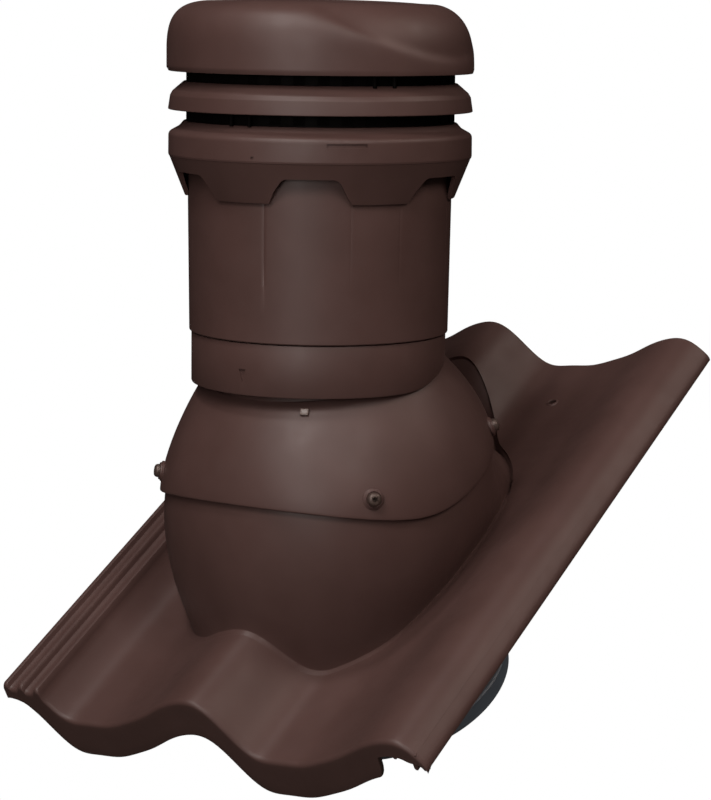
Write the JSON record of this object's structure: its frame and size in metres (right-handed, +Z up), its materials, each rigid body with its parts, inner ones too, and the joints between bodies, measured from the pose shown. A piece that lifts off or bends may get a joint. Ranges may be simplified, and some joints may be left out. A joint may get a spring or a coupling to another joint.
{
  "type": "roof vent pipe",
  "caption": "Brown plastic roof vent pipe: a double-roll roof tile with a two-part swivelling dome, an upright insulated pipe and a louvred head.",
  "frame": {"origin": "where the upright pipe's axis crosses the middle plane of the tile's rolls", "axes": "+Z up along the pipe's axis, +X across the roof, +Y level, up the roof; the tile slopes 28.5 degrees"},
  "size_m": [0.325, 0.3906, 0.5073],
  "materials": {
    "brown_plastic": "satin",
    "black_plastic": "satin",
    "grey_plastic": "satin",
    "seal_rubber": "matte",
    "screw_steel": "satin",
    "zinc_steel": "satin",
    "foam": "matte"
  },
  "bodies": {
    "roof_tile": {"tile_plate": "brown_plastic", "dome_base": "brown_plastic", "ball_cup": "black_plastic", "cup_seal": "seal_rubber", "roof_sleeve": "black_plastic", "support_flange": "black_plastic", "flange_screws": "zinc_steel", "sleeve_end_ring": "black_plastic", "sleeve_lip_seal": "seal_rubber"},
    "hood": {"dome_hood": "brown_plastic", "dome_screws": "screw_steel", "dome_washers": "brown_plastic", "clamp_plates": "zinc_steel", "lock_collar": "brown_plastic", "collar_gasket": "seal_rubber", "ball_duct": "grey_plastic", "duct_lip_seal": "seal_rubber"},
    "pipe": {"pipe_shell": "brown_plastic", "pipe_foot_ring": "brown_plastic", "insulation_sleeve": "foam", "inner_duct": "grey_plastic", "condensate_ring": "grey_plastic"},
    "head": {"vent_core": "brown_plastic", "crown_skirt": "brown_plastic", "louvre_ring": "brown_plastic", "spacer_pegs": "brown_plastic", "insect_guard": "black_plastic", "deflector": "grey_plastic", "cap_shell": "brown_plastic"}
  },
  "joints": [
    {"name": "hood_swivel", "type": "hinge", "parent": "roof_tile", "child": "hood", "pos_m": [0, 0.018, 0.051], "axis": [1, 0, 0], "range_deg": [-1, 8]},
    {"name": "pipe_lift", "type": "slide", "parent": "hood", "child": "pipe", "axis": [0, 0, 1], "range_m": [0, 0.06]},
    {"name": "head_lift", "type": "slide", "parent": "pipe", "child": "head", "axis": [0, 0, 1], "range_m": [0, 0.06]}
  ]
}
